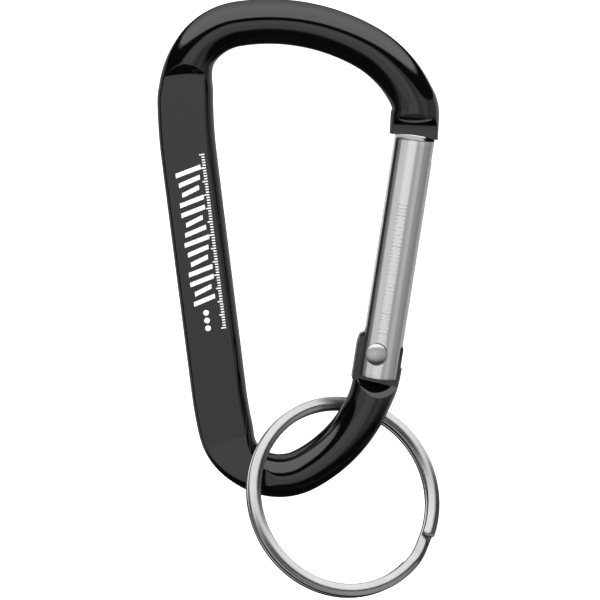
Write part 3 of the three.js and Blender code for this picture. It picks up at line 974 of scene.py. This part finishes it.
def make_spine_print(material):
    """A generic band of slanted bars, with three dots below it and a fine tick scale beside it."""
    bm = bmesh.new()
    middle, bar, slant = PRINT["column"], BARS["half"], BARS["slant"]
    pitch = (PRINT["end"] - PRINT["start"]) / BARS["count"]
    for k in range(BARS["count"]):
        s = PRINT["start"] + pitch * (k + 0.5)
        reach = lerp(BARS["shortest"], BARS["longest"], abs(math.cos(k * BARS["wave"])))
        low, high = middle - reach, middle + reach
        corners = ((-bar - slant, low), (bar - slant, low), (bar + slant, high), (slant - bar, high))
        prism(bm, [(s + along, across) for along, across in corners], on_panel, 0, INK)
    for k in range(TICKS["count"]):
        share = k / (TICKS["count"] - 1)
        s = lerp(PRINT["start"] - TICKS["above"], PRINT["end"] + TICKS["below"], share)
        low, half = PRINT["scale_column"], TICKS["half"]
        high = low + (TICKS["short"] if k % TICKS["every"] else TICKS["long"])
        outline = [(s - half, low), (s + half, low), (s + half, high), (s - half, high)]
        prism(bm, outline, on_panel, 0, INK)
    for k in range(DOTS["count"]):
        s = PRINT["end"] + DOTS["pitch"] * (k + 1)
        prism(bm, circle(s, middle, DOTS["radius"], DOTS["sides"]), on_panel, 0, INK)
    band = add_object("spine_print", bm)
    return finish_piece(band, "frame", "black_anodised_rod", material)


GATE_MARKS = {"low": 3.6, "high": 25.5, "turn": -97, "height": 0.07, "root": 0.05, "half": 0.14}
MARK_KINDS = {
    "dash": ((-0.75, 0.75),),
    "pair": ((-0.75, -0.12), (0.12, 0.75)),
    "stud": ((-0.25, 0.25),),
}
MARK_STEPS = (0.55, 0.62, 0.62, 1.5)


def make_gate_marks(material):
    """Generic raised dashes and studs pressed along the front of the gate."""
    draw = random.Random(5)
    bm = bmesh.new()
    radius = GATE["radius"]

    def place(w, across, height):
        angle = rad(GATE_MARKS["turn"]) + across / radius
        reach = radius + height
        return in_gate(AXIS_U + reach * math.cos(angle), reach * math.sin(angle), w)

    w, half = GATE_MARKS["low"], GATE_MARKS["half"]
    while w < GATE_MARKS["high"]:
        for low, high in MARK_KINDS[draw.choice(("dash", "dash", "pair", "stud"))]:
            outline = [(w - half, low), (w + half, low), (w + half, high), (w - half, high)]
            prism(bm, outline, place, -GATE_MARKS["root"], GATE_MARKS["height"])
        w += draw.choice(MARK_STEPS)
    marks = add_object("gate_marks", bm)
    ease_edges(marks, width=0.05, segments=2, angle=40, smooth_angle=60)
    return finish_piece(marks, "gate", "satin_aluminium", material)


# ---- Stage ----------------------------------------------------------------------------------------

FLOOR_DROP = 55  # below the lowest point of the hanging keyring
FLOOR_SIZE = 6000


def make_floor():
    bm = bmesh.new()
    half = FLOOR_SIZE / 2
    level = cad_low.z / MM - FLOOR_DROP
    corners = [(-half, -half), (half, -half), (half, half), (-half, half)]
    bm.faces.new([bm.verts.new((x, y, level)) for x, y in corners])
    floor = add_object("floor", bm)
    material, n = new_material("pale_floor")
    grain = n.noise(n.place(), 30, 3)
    n.surface(
        Base_Color=n.blend(grain, colour(0.9, 0.9, 0.9), colour(0.93, 0.93, 0.93)),
        Roughness=0.9,
        Emission_Color=colour(1, 1, 1),
        Emission_Strength=0.25,
    )
    floor.data.materials.append(material)
    floor.visible_glossy = False


# Cards round the room, at eye level: the bearing where each one ends, and how bright it is. The
# front is 0, the right is 90 and the left is -90.
CARDS = (
    (-118, 0.35), (-92, 0.02), (-71, 0.2), (-30, 0.74), (14, 1), (33, 0.53), (57, 0.69),
    (83, 0.43), (114, 0.34), (180, 0.57),
)
CARD_BLUR = 2


def card_stops():
    """Colour ramp stops, with a short slope between each card and the next."""
    stops = [(0, 3 * (CARDS[0][1],))]
    for (end, level), (_, after) in zip(CARDS, CARDS[1:]):
        stops.append(((end - CARD_BLUR + 180) / 360, 3 * (level,)))
        stops.append(((end + CARD_BLUR + 180) / 360, 3 * (after,)))
    return [*stops, (1, 3 * (CARDS[-1][1],))]


def make_studio():
    """A soft studio: a big panel overhead, a dark gap, and cards all round at eye level."""
    world = bpy.data.worlds.new("studio")
    bpy.context.scene.world = world
    world.use_nodes = True
    n = Nodes(world.node_tree)
    way = n.node("TexCoord", output="Generated")
    across, deep, up = (n.node("SeparateXYZ", inputs={0: way}, output=axis) for axis in "XYZ")
    to_degrees = 180 / math.pi
    elevation = up.math("ARCSINE") * to_degrees
    bearing = across.math("ARCTAN2", deep * -1) * to_degrees
    behind = deep.between(-0.2, 0.9)
    overhead = elevation.between(26, 31) * (2.5 - behind * 2.0)
    round_the_room = n.node("ValToRGB", {"stops": card_stops()}, {"Fac": (bearing + 180) / 360})
    below_gap = 1 - elevation.between(10, 13)
    cards = (elevation.between(-40, -26) + elevation.between(-14, -4) * 0.2) * below_gap
    light = overhead + cards * round_the_room + 0.012
    rays = n.node("LightPath", output="Is Camera Ray")
    seen = light * (1 - rays) + rays
    background = n.node("Background", inputs={"Color": colour(1, 1, 1), "Strength": seen})
    n.node("OutputWorld", inputs={"Surface": background})


# ---- Put together ---------------------------------------------------------------------------------

bpy.context.scene.view_settings.view_transform = "Standard"
ring_centre = RING_FRAME.translation
ring_normal = (RING_FRAME.to_3x3() @ Vector((0, 0, 1))).normalized()
satin_aluminium = make_satin_aluminium()
make_frame_body(make_black_anodise())
make_gate_channel(satin_aluminium)
make_hinge_rivet(make_rivet_steel())
make_spring_plunger(make_plunger_brass())
make_gate_spring(make_spring_steel())
make_split_ring(make_nickel(ring_centre, ring_normal))
make_spine_print(make_white_ink())
make_gate_marks(satin_aluminium)
make_floor()
make_studio()
